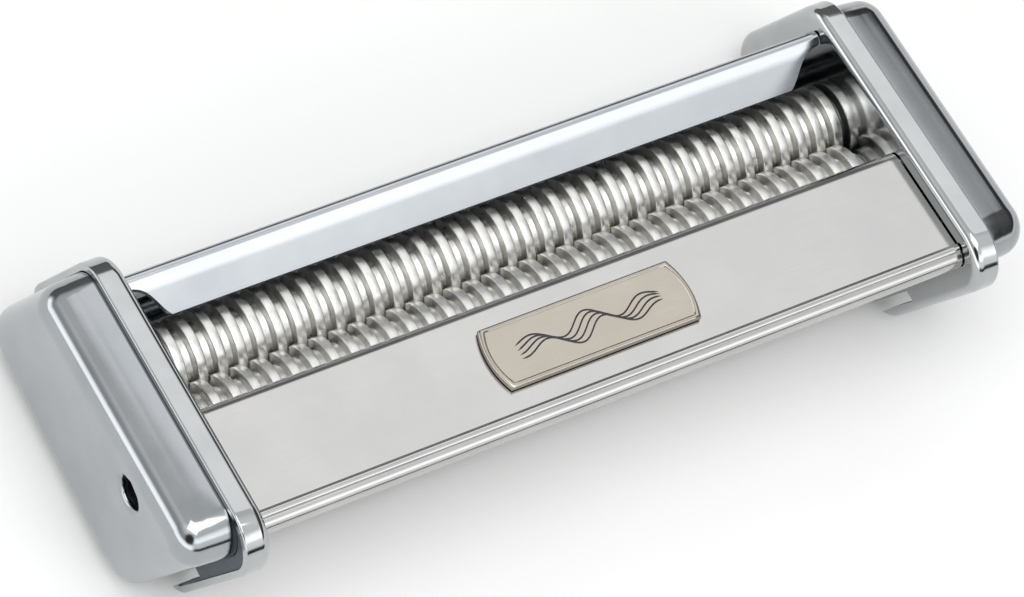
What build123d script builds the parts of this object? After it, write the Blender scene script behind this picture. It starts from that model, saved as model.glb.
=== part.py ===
"""Spaghetti cutter attachment for a hand-cranked pasta machine.

The unit lies on the flat back rims of its two side plates, with its working face up.
+X runs along the cutting rollers, away from the crank end, +Y points to the hopper's rear wall
and +Z points out of the working face. The origin is at the middle of the base.
All sizes are in millimetres and all angles in degrees.
"""
import os
from math import cos, pi, radians, sin, tan

from build123d import *

os.makedirs("parts", exist_ok=True)

# ---------------------------------------------------------------- driving dimensions
# Cutting rollers
ring_count = 37  # cutting rings on the upper roller
ring_width = 2.0
ring_radius = 8.0
groove_radius = 5.8
ring_side_clearance = 0.05  # each side of a ring in its mating groove
groove_floor_clearance = 0.4  # ring edge to the mating groove's floor
roller_end_margin = 0.2  # roller core beyond its last ring
shaft_radius = 3.0
shaft_flat = 2.5  # axis to the flat that drives the gear

# Side profile, seen along X
axis_height = 19.5  # upper roller axis above the base
rear_reach = 30.3  # upper roller axis to the profile's rear base corner
front_reach = 35.8  # upper roller axis to the profile's front base corner
face_height = 39.8  # working face above the base, over the upper roller axis
lean = 19.2  # both ends lean forward from the vertical
face_slope = 6.3  # working face rises towards the front
corner_radius = 8.0

# Side plates
plate_thickness = 1.4
plate_bend_radius = 1.9
plate_end_gap = 0.6  # roller core to the web
band_width = 5.3  # rim, from the web's inner face to its lip
lip_radius = 0.45

# End caps
cap_gap = 0.2  # cap to the rim around it
cap_nest = 1.5  # how far the cap sits inside the rim
cap_reach = 10.5  # cap beyond the rim's lip
cap_wall = 1.2
cap_end_wall = 1.0
cap_round = 5.0
cap_foot_inset = 4.0  # the cap stops short of the rim at the front end

# Gear tray and bearing tray
tray_floor = 1.0
tray_wall = 1.5
tray_gap = 0.1
tray_lip_step = 0.4  # the tray's edge stays this far inside the rim's lip

# Slide slot, open at the base, with the rim's tongue in front of it
slot_inset = 1.9
slot_width = 2.3
slot_height = 15.0

# Covers
sheet = 0.8
cover_recess = 4.6  # front cover below the working face of the rims
cover_end_gap = 0.3  # covers to the webs
cover_upper_y = -16.3  # upper edge of the front cover, from the upper roller axis
cover_lip = 4.0
cover_edge_bend = 2.4
cover_foot_inset = 5.8
cover_bend = 2.0
bead_radius = 1.0
bead_setback = 3.4  # bead to the front cover's lower bend
flange_height = 3.0  # covers stop this far above the base
rear_inset = 5.4  # rear cover inside the rear end of the side plates
hem_height = 34.9
hem_bend = 0.9
guide_knee = (9.86, 33.1)  # y from the upper roller axis, z
guide_bend = 15.0
guide_clearance = 2.4  # lower edge of the guide to the rings
guide_edge_angle = 61.2  # where the guide ends, around the upper roller from +Y
guide_relief = 10.8  # length of the ogee cut at each end of the guide
guide_relief_end = 0.6  # the ogee runs out this far behind the knee

# Badge on the front cover
badge_length = 43.2
badge_width = 13.3
badge_bow = 1.3
badge_thickness = 1.1
badge_bevel = 0.5
badge_border = 1.0
badge_recess = 0.25
badge_y = -28.6  # from the upper roller axis
pad_thickness = 0.3
pad_margin = 1.6

# Gears, crank socket and bearings
gear_teeth = 16
gear_addendum = 0.8
gear_dedendum = 1.0
gear_backlash = 0.34
tooth_root_overlap = 0.3  # how far a tooth reaches into the gear's body
gear_pressure_angle = 20.0
gear_width = 5.5
gear_start_gap = 0.2  # bush flange to gear
drive_direction = 137.8  # lower roller axis to crank axis, from +Y towards +Z
hub_radius = 4.5
hub_flat = 4.0
hub_gap = 0.3  # crank socket to the cap's end wall
journal_radius = 2.5
socket_across_flats = 5.6
socket_depth = 9.0
crank_hole_radius = 3.3
crank_sink = 0.4
boss_wall = 1.5
boss_length = 3.8
running_clearance = 0.05
bush_wall = 1.5
bush_flange_radius = 5.6
bush_flange = 0.8
clip_thickness = 0.7
clip_radius = 4.3
clip_groove_radius = 2.4
clip_mouth = 100.0  # angle of the clip's open side
clip_gap = 0.2  # clip to the piece it holds
shaft_tail = 0.8  # shaft beyond its clip
washer_thickness = 0.5
washer_radius = 5.0

# Scraper combs
finger_width = 1.7
finger_thickness = 1.0
finger_gap = 0.35  # finger to groove floor
finger_length = 12.5
finger_tip = 1.7  # finger beyond its tangent point
upper_tangent = 225.0  # where the upper comb's fingers touch the roller, from +Y
lower_tangent = 315.0
comb_bar_width = 4.0
comb_bar_thickness = 2.2
comb_tab_width = 2.6

# Fasteners
tie_rod_radius = 2.5
screw_radius = 1.5
screw_head_radius = 2.75
screw_head_height = 1.6
screw_clearance = 0.2
tie_screw_length = 8.0
cap_screw_length = 12.0
key_depth = 0.6  # share of the head's height
socket_key = 2.5  # hexagon key of every screw
post_radius = 2.8
rear_tie = (16.0, 7.0)  # y from the upper roller axis, z
front_tie = (-34.0, 32.0)
base_tie = (-27.5, 7.0)
rear_cap_screw = (14.5, 14.0)
front_cap_screw = (-31.0, 20.0)

# ---------------------------------------------------------------- derived sizes
ring_pitch = 2 * (ring_width + ring_side_clearance)
axis_distance = ring_radius + groove_radius + groove_floor_clearance
core_half = (ring_count - 1) * ring_pitch / 2 + ring_width / 2 + roller_end_margin
web_inner = core_half + plate_end_gap
web_outer = web_inner + plate_thickness
lip_x = web_inner + band_width
cap_start = lip_x - cap_nest
cap_end = lip_x + cap_reach
cap_inset = plate_thickness + cap_gap
tray_top = web_outer + tray_floor
bush_end = tray_top + bush_flange
gear_start = bush_end + gear_start_gap
gear_end = gear_start + gear_width
cover_half = web_inner - cover_end_gap
tan_lean = tan(radians(lean))
tan_face = tan(radians(face_slope))


def profile_corners(rear, front, face, base):
    """Sharp corners of the side profile, inset from its four sides, before centring.

    The corners run from the rear base corner round by the working face to the front base corner.
    """
    rear_foot = rear_reach - rear / cos(radians(lean))
    front_foot = -front_reach + front / cos(radians(lean))
    top = face_height - face / cos(radians(face_slope))

    def under_face(foot):
        y = (foot - top * tan_lean) / (1 - tan_face * tan_lean)
        return (y, top - y * tan_face)

    def on_base(foot):
        return (foot - base * tan_lean, base)

    return [on_base(rear_foot), under_face(rear_foot), under_face(front_foot), on_base(front_foot)]


def profile_span():
    """Least and greatest y of the rounded profile, before centring."""
    rear, _, front, _ = profile_corners(0, 0, 0, 0)
    rear_half_angle = radians((90 - lean) / 2)
    front_half_angle = radians((90 - lean - face_slope) / 2)
    bisector = front_half_angle + radians(face_slope)
    high = rear[0] - corner_radius / tan(rear_half_angle) + corner_radius
    low = front[0] + corner_radius / sin(front_half_angle) * cos(bisector) - corner_radius
    return low, high


axis_y = -sum(profile_span()) / 2  # upper roller axis, with the profile centred on the origin


def at(point):
    """A point given from the upper roller axis, in the part's own y and z."""
    return (point[0] + axis_y, point[1])


def polar(centre, radius, angle):
    """The point at a radius and an angle from +Y towards +Z around a centre."""
    return (centre[0] + radius * cos(radians(angle)), centre[1] + radius * sin(radians(angle)))


upper_axis = at((0, axis_height))
lower_axis = polar(upper_axis, axis_distance, 180 - face_slope)
drive_axis = polar(lower_axis, axis_distance, drive_direction)


def side_plane(x):
    """The plane across the rollers at x, with its own axes along +Y and +Z."""
    return Plane.YZ.offset(x)


def profile_sketch(x, inset, front=None):
    """The rounded side profile as a sketch on the plane at x."""
    front_inset = inset if front is None else front
    with BuildSketch(side_plane(x)) as sketch:
        Polygon(*[at(corner) for corner in profile_corners(inset, front_inset, inset, inset)], align=None)
        fillet(sketch.vertices(), corner_radius - inset)
    return sketch.sketch


def save(part, label):
    """Name a finished piece and write its STEP file."""
    part.label = label
    export_step(part, "parts/" + label + ".step")


def end_face(part, side):
    """The face of a part that lies furthest out on one side."""
    return part.faces().sort_by(Axis.X)[-1 if side > 0 else 0]


def inner_face(part, side):
    """The face of a part that lies furthest in on one side."""
    return part.faces().sort_by(Axis.X)[0 if side > 0 else -1]


def foot_line(inset, z):
    """A point of the front end of the profile, inset from it, at height z."""
    return at((-front_reach + inset / cos(radians(lean)) - z * tan_lean, z))


def rear_line(inset, z):
    """A point of the rear end of the profile, inset from it, at height z."""
    return at((rear_reach - inset / cos(radians(lean)) - z * tan_lean, z))


def face_line(inset, y):
    """A point of the working face, inset from it, at y from the upper roller axis."""
    return at((y, face_height - inset / cos(radians(face_slope)) - y * tan_face))


comb_angles = {"upper_comb": (upper_axis, upper_tangent, -1), "lower_comb": (lower_axis, lower_tangent, 1)}


def comb_points(centre, tangent, turn):
    """Tip and root of a comb finger, and the middle of its bar, for a comb beside a roller.

    The finger lies along the tangent of the groove floor. turn is -1 where it runs clockwise
    from its root to its tip, and 1 where it runs the other way.
    """
    offset = groove_radius + finger_gap + finger_thickness / 2
    touch = polar(centre, offset, tangent)
    along = tangent + 90 * turn
    tip = polar(touch, finger_tip, along)
    root = polar(touch, finger_tip - finger_length, along)
    bar = polar(root, (comb_bar_thickness - finger_thickness) / 2, tangent)
    return tip, root, bar, along


# ---------------------------------------------------------------- side plates
bush_radius = shaft_radius + running_clearance + bush_wall
drive_bush_radius = journal_radius + running_clearance + bush_wall
tie_points = [at(rear_tie), at(front_tie), at(base_tie)]
cap_screw_points = [at(rear_cap_screw), at(front_cap_screw)]


def draw_slide_slot():
    """Draw the slot beside the front end of the profile, open at the base."""
    below = -1.0
    low = foot_line(slot_inset, below)
    high = foot_line(slot_inset, slot_height)
    high_inner = foot_line(slot_inset + slot_width, slot_height)
    low_inner = foot_line(slot_inset + slot_width, below)
    Polygon(low, high, high_inner, low_inner, align=None)


def make_side_plate(side):
    """A chromed steel pan: a flat web with a rim turned outwards all round."""
    with BuildPart() as plate:
        extrude(profile_sketch(side * web_inner, 0), amount=side * band_width)
        fillet(inner_face(plate, side).edges(), plate_bend_radius)
        pan = profile_sketch(side * web_outer, plate_thickness)
        extrude(pan, amount=side * band_width, mode=Mode.SUBTRACT)
        fillet(end_face(plate, side).outer_wire().edges(), lip_radius)
        with BuildSketch(side_plane(side * (web_inner - 1))):
            with Locations(upper_axis, lower_axis):
                Circle(bush_radius)
            if side < 0:
                with Locations(drive_axis):
                    Circle(drive_bush_radius)
            with Locations(*tie_points, *cap_screw_points):
                Circle(screw_radius)
            for centre, tangent, turn in comb_angles.values():
                bar, along = comb_points(centre, tangent, turn)[2:]
                with Locations(bar):
                    Rectangle(comb_tab_width, comb_bar_thickness, rotation=along)
        extrude(amount=side * (plate_thickness + 2), mode=Mode.SUBTRACT)
        with BuildSketch(side_plane(side * (web_inner - 1))):
            draw_slide_slot()
        extrude(amount=side * (band_width + 2), mode=Mode.SUBTRACT)
    return plate.part


left_side_plate = make_side_plate(-1)
save(left_side_plate, "left_side_plate")

right_side_plate = make_side_plate(1)
save(right_side_plate, "right_side_plate")


# ---------------------------------------------------------------- trays inside the side plates
def make_tray(side):
    """A moulded tray that lines the pan, closes it in front of the cap and carries the cap's edge."""
    tray_inset = plate_thickness + tray_gap
    with BuildPart() as tray:
        extrude(profile_sketch(side * web_outer, tray_inset), amount=side * (lip_x - tray_lip_step - web_outer))
        hollow = profile_sketch(side * tray_top, tray_inset + tray_wall, cap_foot_inset + cap_wall)
        extrude(hollow, amount=side * band_width, mode=Mode.SUBTRACT)
        cap_seat = profile_sketch(side * cap_start, cap_inset - tray_gap, cap_foot_inset - tray_gap)
        extrude(cap_seat, amount=side * band_width, mode=Mode.SUBTRACT)
        with BuildSketch(side_plane(side * web_outer)):
            with Locations(upper_axis, lower_axis):
                Circle(bush_radius)
            if side < 0:
                with Locations(drive_axis):
                    Circle(drive_bush_radius)
            with Locations(*tie_points):
                Circle(screw_head_radius + screw_clearance)
            with Locations(*cap_screw_points):
                Circle(screw_radius)
            draw_slide_slot()
        extrude(amount=side * band_width, mode=Mode.SUBTRACT)
    return tray.part


left_gear_tray = make_tray(-1)
save(left_gear_tray, "left_gear_tray")

right_bearing_tray = make_tray(1)
save(right_bearing_tray, "right_bearing_tray")


# ---------------------------------------------------------------- end caps
def make_cap(side):
    """A chromed shell over the gears, with screw posts and, at the crank end, a hole and a boss."""
    depth = cap_end - cap_start
    with BuildPart() as cavity:
        hollow = profile_sketch(side * cap_start, cap_inset + cap_wall, cap_foot_inset + cap_wall)
        extrude(hollow, amount=side * (depth - cap_end_wall))
        fillet(end_face(cavity, side).edges(), cap_round - cap_end_wall)
    with BuildPart() as cap:
        extrude(profile_sketch(side * cap_start, cap_inset, cap_foot_inset), amount=side * depth)
        fillet(end_face(cap, side).edges(), cap_round)
        add(cavity.part, mode=Mode.SUBTRACT)
        with BuildSketch(side_plane(side * tray_top)):
            with Locations(*cap_screw_points):
                Circle(post_radius)
        extrude(amount=side * (cap_end - tray_top - cap_end_wall / 2))
        with BuildSketch(side_plane(side * tray_top)):
            with Locations(*cap_screw_points):
                Circle(screw_radius)
        extrude(amount=side * (cap_screw_length - plate_thickness - tray_floor), mode=Mode.SUBTRACT)
        if side < 0:
            with BuildSketch(side_plane(side * (cap_end - cap_end_wall / 2))):
                with Locations(drive_axis):
                    Circle(hub_radius + running_clearance + boss_wall)
            extrude(amount=-side * (boss_length + cap_end_wall / 2))
            with BuildSketch(side_plane(side * (cap_end - cap_end_wall))):
                with Locations(drive_axis):
                    Circle(hub_radius + running_clearance)
            extrude(amount=-side * boss_length, mode=Mode.SUBTRACT)
            with BuildSketch(side_plane(side * (cap_end - cap_end_wall))):
                with Locations(drive_axis):
                    Circle(crank_hole_radius)
            extrude(amount=side * cap_end_wall, mode=Mode.SUBTRACT)
            rim = cap.edges().filter_by(GeomType.CIRCLE).filter_by(
                lambda edge: abs(edge.radius - crank_hole_radius) < 0.01
            )
            chamfer(rim.sort_by(Axis.X)[0], crank_sink)
    return cap.part


left_end_cap = make_cap(-1)
save(left_end_cap, "left_end_cap")

right_end_cap = make_cap(1)
save(right_end_cap, "right_end_cap")

# ---------------------------------------------------------------- front cover
lower_bend = profile_corners(0, cover_foot_inset, cover_recess, 0)[2]
bead_centre = face_line(cover_recess, lower_bend[0] + bead_setback)
upper_edge = face_line(cover_recess, cover_upper_y)
lip_edge = (
    upper_edge[0] - cover_lip * sin(radians(face_slope)),
    upper_edge[1] - cover_lip * cos(radians(face_slope)),
)

with BuildPart() as front_cover:
    with BuildSketch(side_plane(-cover_half)):
        with BuildLine():
            FilletPolyline(
                lip_edge,
                upper_edge,
                at(lower_bend),
                foot_line(cover_foot_inset, flange_height),
                radius=[cover_edge_bend, cover_bend],
            )
        trace(line_width=sheet)
        with Locations(bead_centre):
            Circle(bead_radius)
    extrude(amount=2 * cover_half)
save(front_cover.part, "front_cover")

# ---------------------------------------------------------------- rear cover
guide_radius = ring_radius + guide_clearance + sheet / 2
guide_edge = polar(upper_axis, guide_radius, guide_edge_angle)
hem_top = rear_line(rear_inset, hem_height)
ogee_end_y = at(guide_knee)[0] + guide_relief_end

with BuildPart() as rear_cover:
    with BuildSketch(side_plane(-cover_half)):
        with BuildLine():
            FilletPolyline(
                rear_line(rear_inset, flange_height),
                hem_top,
                at(guide_knee),
                guide_edge,
                radius=[hem_bend, guide_bend],
            )
        trace(line_width=sheet)
    extrude(amount=2 * cover_half)
    with BuildSketch(Plane.XY.offset(axis_height)):
        low_y = guide_edge[0] - 1
        with BuildLine():
            Bezier(
                (cover_half - guide_relief, low_y),
                (cover_half - guide_relief * 0.45, low_y),
                (cover_half - guide_relief * 0.6, ogee_end_y),
                (cover_half + 1, ogee_end_y),
            )
            Line((cover_half + 1, ogee_end_y), (cover_half + 1, low_y))
            Line((cover_half + 1, low_y), (cover_half - guide_relief, low_y))
        make_face()
        mirror(about=Plane.YZ)
    extrude(amount=hem_height - axis_height, mode=Mode.SUBTRACT)
save(rear_cover.part, "rear_cover")


# ---------------------------------------------------------------- badge
def badge_sketch(plane, inset):
    """The badge's outline, inset: straight long edges and bowed ends."""
    half_length = badge_length / 2 - inset
    half_width = badge_width / 2 - inset
    corner_x = half_length - badge_bow
    with BuildSketch(plane) as outline:
        with BuildLine():
            Line((-corner_x, half_width), (corner_x, half_width))
            ThreePointArc((corner_x, half_width), (half_length, 0), (corner_x, -half_width))
            Line((corner_x, -half_width), (-corner_x, -half_width))
            ThreePointArc((-corner_x, -half_width), (-half_length, 0), (-corner_x, half_width))
        make_face()
    return outline.sketch


badge_seat = face_line(cover_recess - sheet / 2, badge_y)
badge_plane = Plane(
    origin=(0, badge_seat[0], badge_seat[1]),
    x_dir=(1, 0, 0),
    z_dir=(0, sin(radians(face_slope)), cos(radians(face_slope))),
)

with BuildPart() as badge_pad:
    extrude(badge_sketch(badge_plane, pad_margin), amount=pad_thickness)
save(badge_pad.part, "badge_pad")

badge_floor = pad_thickness + badge_thickness - badge_recess
badge_up = Axis(badge_plane.origin, badge_plane.z_dir)

with BuildPart() as badge_plate:
    extrude(badge_sketch(badge_plane.offset(pad_thickness), 0), amount=badge_thickness)
    chamfer(badge_plate.faces().sort_by(badge_up)[-1].edges(), badge_bevel)
    extrude(
        badge_sketch(badge_plane.offset(badge_floor), badge_border),
        amount=badge_recess,
        mode=Mode.SUBTRACT,
    )
save(badge_plate.part, "badge_plate")


# ---------------------------------------------------------------- rollers
gear_module = axis_distance / gear_teeth
pitch_radius = axis_distance / 2
tooth_angle = 360 / gear_teeth
clip_start = gear_end + clip_gap
left_shaft_end = clip_start + clip_thickness + shaft_tail
right_clip_start = bush_end + clip_gap
right_shaft_end = right_clip_start + clip_thickness + shaft_tail


def clip_groove_sketch(centre, start):
    """The ring cut away for a retaining clip from a shaft that runs along X."""
    with BuildSketch(side_plane(start)) as groove:
        with Locations(centre):
            Circle(shaft_radius + 1)
            Circle(clip_groove_radius, mode=Mode.SUBTRACT)
    return groove.sketch


def make_roller(axis, rings):
    """A ringed cutting roller turned in one piece with its shaft, its gear seat to the left."""
    first = -(rings - 1) * ring_pitch / 2
    with BuildPart() as roller:
        with BuildSketch(side_plane(-core_half)):
            with Locations(axis):
                Circle(groove_radius)
        extrude(amount=2 * core_half)
        for index in range(rings):
            with BuildSketch(side_plane(first + index * ring_pitch - ring_width / 2)):
                with Locations(axis):
                    Circle(ring_radius)
            extrude(amount=ring_width)
        with BuildSketch(side_plane(-left_shaft_end)):
            with Locations(axis):
                Circle(shaft_radius)
        extrude(amount=left_shaft_end + right_shaft_end)
        with BuildSketch(side_plane(-left_shaft_end)):
            with Locations((axis[0], axis[1] + shaft_flat + shaft_radius)):
                Rectangle(3 * shaft_radius, 2 * shaft_radius)
        extrude(amount=left_shaft_end - gear_start, mode=Mode.SUBTRACT)
        for start in (-clip_start - clip_thickness, right_clip_start):
            extrude(clip_groove_sketch(axis, start), amount=clip_thickness, mode=Mode.SUBTRACT)
    return roller.part


upper_roller = make_roller(upper_axis, ring_count)
save(upper_roller, "upper_roller")

lower_roller = make_roller(lower_axis, ring_count - 1)
save(lower_roller, "lower_roller")


# ---------------------------------------------------------------- gears
def mating_phase(phase, direction):
    """Angle of a tooth of the gear that lies in a direction from a gear with a tooth at phase."""
    return 2 * direction + 180 - phase + tooth_angle / 2


def make_gear(axis, phase, bore, flat):
    """A spur gear with straight-flanked teeth on a bore with one flat."""
    root = pitch_radius - gear_dedendum
    tip = pitch_radius + gear_addendum
    flank = tan(radians(gear_pressure_angle))
    half_pitch_tooth = pi * gear_module / 4 - gear_backlash / 2
    half_tip = half_pitch_tooth - gear_addendum * flank
    half_root = half_pitch_tooth + gear_dedendum * flank
    with BuildPart() as gear:
        with BuildSketch(side_plane(-gear_end)):
            with Locations(axis):
                Circle(root)
                with PolarLocations(0, gear_teeth, start_angle=phase):
                    Polygon(
                        (root - tooth_root_overlap, -half_root),
                        (root, -half_root),
                        (tip, -half_tip),
                        (tip, half_tip),
                        (root, half_root),
                        (root - tooth_root_overlap, half_root),
                        align=None,
                    )
        extrude(amount=gear_width)
        with BuildSketch(side_plane(-gear_end)):
            with Locations(axis):
                Circle(bore)
            with Locations((axis[0], axis[1] + flat + bore)):
                Rectangle(3 * bore, 2 * bore, mode=Mode.SUBTRACT)
        extrude(amount=gear_width, mode=Mode.SUBTRACT)
    return gear.part


lower_phase = -face_slope
upper_phase = mating_phase(lower_phase, -face_slope)
drive_phase = mating_phase(lower_phase, drive_direction)

upper_gear = make_gear(upper_axis, upper_phase, shaft_radius, shaft_flat)
save(upper_gear, "upper_gear")

lower_gear = make_gear(lower_axis, lower_phase, shaft_radius, shaft_flat)
save(lower_gear, "lower_gear")

drive_gear = make_gear(drive_axis, drive_phase, hub_radius, hub_flat)
save(drive_gear, "drive_gear")

# ---------------------------------------------------------------- crank socket
hub_end = cap_end - cap_end_wall - hub_gap

with BuildPart() as crank_socket:
    with BuildSketch(side_plane(-hub_end)):
        with Locations(drive_axis):
            Circle(hub_radius)
    extrude(amount=hub_end - gear_start)
    with BuildSketch(side_plane(-gear_end)):
        with Locations((drive_axis[0], drive_axis[1] + hub_flat + hub_radius)):
            Rectangle(3 * hub_radius, 2 * hub_radius)
    extrude(amount=gear_width, mode=Mode.SUBTRACT)
    with BuildSketch(side_plane(-gear_start)):
        with Locations(drive_axis):
            Circle(journal_radius)
    extrude(amount=gear_start - web_inner)
    with BuildSketch(side_plane(-hub_end)):
        with Locations(drive_axis):
            RegularPolygon(socket_across_flats / 2, 6, major_radius=False)
    extrude(amount=socket_depth, mode=Mode.SUBTRACT)
save(crank_socket.part, "crank_socket")


# ---------------------------------------------------------------- bushes
def make_bush(axis, side, bore, outer):
    """A flanged bush through the web and the tray, with its flange outside."""
    with BuildPart() as bush:
        with BuildSketch(side_plane(side * web_inner)):
            with Locations(axis):
                Circle(outer)
        extrude(amount=side * (bush_end - web_inner))
        with BuildSketch(side_plane(side * tray_top)):
            with Locations(axis):
                Circle(bush_flange_radius)
        extrude(amount=side * bush_flange)
        with BuildSketch(side_plane(side * web_inner)):
            with Locations(axis):
                Circle(bore)
        extrude(amount=side * (bush_end - web_inner), mode=Mode.SUBTRACT)
    return bush.part


for name, axis in (("upper", upper_axis), ("lower", lower_axis)):
    for side_name, side in (("left", -1), ("right", 1)):
        bush = make_bush(axis, side, shaft_radius + running_clearance, bush_radius)
        save(bush, name + "_" + side_name + "_bush")

drive_bush = make_bush(drive_axis, -1, journal_radius + running_clearance, drive_bush_radius)
save(drive_bush, "drive_bush")


# ---------------------------------------------------------------- clips and washers
def make_clip(axis, start):
    """A C-shaped retaining clip in a shaft's groove."""
    with BuildPart() as clip:
        with BuildSketch(side_plane(start)):
            with Locations(axis):
                Circle(clip_radius)
                Circle(clip_groove_radius, mode=Mode.SUBTRACT)
                Polygon(
                    (0, 0),
                    polar((0, 0), 2 * clip_radius, -90 - clip_mouth / 2),
                    polar((0, 0), 2 * clip_radius, -90 + clip_mouth / 2),
                    align=None,
                    mode=Mode.SUBTRACT,
                )
        extrude(amount=clip_thickness)
    return clip.part


def make_washers(axis):
    """The two thrust washers of a roller, between its core and the bushes."""
    with BuildPart() as washers:
        for start in (core_half, -core_half - washer_thickness):
            with BuildSketch(side_plane(start)):
                with Locations(axis):
                    Circle(washer_radius)
                    Circle(shaft_radius, mode=Mode.SUBTRACT)
            extrude(amount=washer_thickness)
    return washers.part


for name, axis in (("upper", upper_axis), ("lower", lower_axis)):
    save(make_clip(axis, -clip_start - clip_thickness), name + "_gear_clip")
    save(make_clip(axis, right_clip_start), name + "_end_clip")
    save(make_washers(axis), name + "_thrust_washers")


# ---------------------------------------------------------------- scraper combs
def make_comb(label, fingers):
    """A comb whose fingers lie in a roller's grooves, on a bar tabbed into both webs."""
    centre, tangent, turn = comb_angles[label]
    tip, root, bar, along = comb_points(centre, tangent, turn)
    middle = ((tip[0] + root[0]) / 2, (tip[1] + root[1]) / 2)
    first = -(fingers - 1) * ring_pitch / 2
    with BuildPart() as comb:
        with BuildSketch(side_plane(-web_inner)):
            with Locations(bar):
                Rectangle(comb_bar_width, comb_bar_thickness, rotation=along)
        extrude(amount=2 * web_inner)
        with BuildSketch(side_plane(-web_outer)):
            with Locations(bar):
                Rectangle(comb_tab_width, comb_bar_thickness, rotation=along)
        extrude(amount=2 * web_outer)
        for index in range(fingers):
            with BuildSketch(side_plane(first + index * ring_pitch - finger_width / 2)):
                with Locations(middle):
                    Rectangle(finger_length, finger_thickness, rotation=along)
            extrude(amount=finger_width)
    return comb.part


save(make_comb("upper_comb", ring_count - 1), "upper_comb")
save(make_comb("lower_comb", ring_count), "lower_comb")


# ---------------------------------------------------------------- tie rods and screws
def make_tie_rod(point):
    """A round rod between the webs, tapped at both ends."""
    with BuildPart() as rod:
        with BuildSketch(side_plane(-web_inner)):
            with Locations(point):
                Circle(tie_rod_radius)
        extrude(amount=2 * web_inner)
        for side in (-1, 1):
            with BuildSketch(side_plane(side * web_inner)):
                with Locations(point):
                    Circle(screw_radius)
            extrude(amount=-side * (tie_screw_length - plate_thickness), mode=Mode.SUBTRACT)
    return rod.part


def make_screws(points, seat, direction, length):
    """Socket screws whose heads sit on the plane x = seat, with shanks along the direction given."""
    with BuildPart() as screws:
        for point in points:
            with BuildSketch(side_plane(seat)):
                with Locations(point):
                    Circle(screw_radius)
            extrude(amount=direction * length)
            with BuildSketch(side_plane(seat)):
                with Locations(point):
                    Circle(screw_head_radius)
            extrude(amount=-direction * screw_head_height)
            with BuildSketch(side_plane(seat - direction * screw_head_height)):
                with Locations(point):
                    RegularPolygon(socket_key / 2, 6, major_radius=False)
            extrude(amount=direction * screw_head_height * key_depth, mode=Mode.SUBTRACT)
    return screws.part


save(make_tie_rod(tie_points[0]), "rear_tie_rod")
save(make_tie_rod(tie_points[1]), "front_tie_rod")
save(make_tie_rod(tie_points[2]), "base_tie_rod")

for side_name, side in (("left", -1), ("right", 1)):
    save(make_screws(tie_points, side * web_outer, -side, tie_screw_length), side_name + "_tie_screws")
    save(make_screws(cap_screw_points, side * web_inner, side, cap_screw_length), side_name + "_cap_screws")

print("upper axis", [round(value, 3) for value in upper_axis])
print("lower axis", [round(value, 3) for value in lower_axis])
print("crank axis", [round(value, 3) for value in drive_axis])
print("web", round(web_inner, 3), "lip", round(lip_x, 3), "cap end", round(cap_end, 3))
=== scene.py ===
"""The looks of a spaghetti cutter attachment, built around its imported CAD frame.

The unit is a chromed steel tray with two end caps, a pair of ringed cutting rollers between its
side plates, a folded rear guide, a folded front cover with a small badge, and a gear train and a
crank socket under the left cap. Lengths in the classes are in millimetres; meshes are in metres.
"""

import logging
from dataclasses import dataclass, field
from enum import Enum
from math import cos, radians, sin, tan

import bpy
import numpy as np
from mathutils import Matrix, Vector


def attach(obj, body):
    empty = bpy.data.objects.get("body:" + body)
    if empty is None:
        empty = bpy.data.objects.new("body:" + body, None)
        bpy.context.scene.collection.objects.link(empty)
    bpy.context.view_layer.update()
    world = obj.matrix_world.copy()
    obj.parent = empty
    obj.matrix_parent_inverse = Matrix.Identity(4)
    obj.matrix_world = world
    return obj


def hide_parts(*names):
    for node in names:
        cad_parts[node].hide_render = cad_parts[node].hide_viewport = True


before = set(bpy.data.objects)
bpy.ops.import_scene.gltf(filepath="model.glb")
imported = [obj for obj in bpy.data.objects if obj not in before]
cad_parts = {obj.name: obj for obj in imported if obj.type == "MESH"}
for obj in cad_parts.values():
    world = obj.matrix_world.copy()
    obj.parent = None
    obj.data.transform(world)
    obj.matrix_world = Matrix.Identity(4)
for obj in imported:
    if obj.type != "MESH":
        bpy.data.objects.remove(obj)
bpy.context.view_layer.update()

MM = 0.001
LOG = logging.getLogger("spaghetti_cutter")

Pair = tuple[float, float]
Triple = tuple[float, float, float]
Tree = bpy.types.NodeTree
Socket = bpy.types.NodeSocket


def linear(colour: str) -> tuple[float, float, float, float]:
    """Turn an sRGB hex colour into linear light.

    Args:
        colour: A colour as #RRGGBB.

    Returns:
        Red, green, blue and an alpha of one.
    """
    channels = np.array([int(colour[i : i + 2], 16) for i in (1, 3, 5)]) / 255.0
    light = np.where(channels <= 0.04045, channels / 12.92, ((channels + 0.055) / 1.055) ** 2.4)
    return (*(float(value) for value in light), 1.0)


def add(tree: Tree, kind: str, links: dict | None = None, **settings: object) -> bpy.types.Node:
    """Add a node with its settings, values and incoming links.

    Args:
        tree: The node tree that gets the node.
        kind: The node's type name.
        links: Value or output socket for each input, by the input's name or number.
        **settings: Properties of the node itself.

    Returns:
        The new node.
    """
    item = tree.nodes.new(kind)
    for name, value in settings.items():
        setattr(item, name, value)
    for name, value in (links or {}).items():
        if isinstance(value, Socket):
            tree.links.new(value, item.inputs[name])
        else:
            item.inputs[name].default_value = value
    return item


# ------------------------------------------------------------------------------------ finishes
class Base(Enum):
    """What a finish lies on; the value is the share of metal in the shader."""

    METAL = 1.0
    PLASTIC = 0.0


# Noise settings that all finishes share: octaves of the cloud and the grain, and how fast they fade.
CLOUD_DETAIL, GRAIN_DETAIL, NOISE_FADE = 3.0, 4.0, 0.55
# Cloud values between which the colour drifts, and cloud times grain values for the gloss.
DRIFT_FROM, DRIFT_TO = 0.3, 0.7
BLUR_FROM, BLUR_TO = 0.12, 0.42


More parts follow.
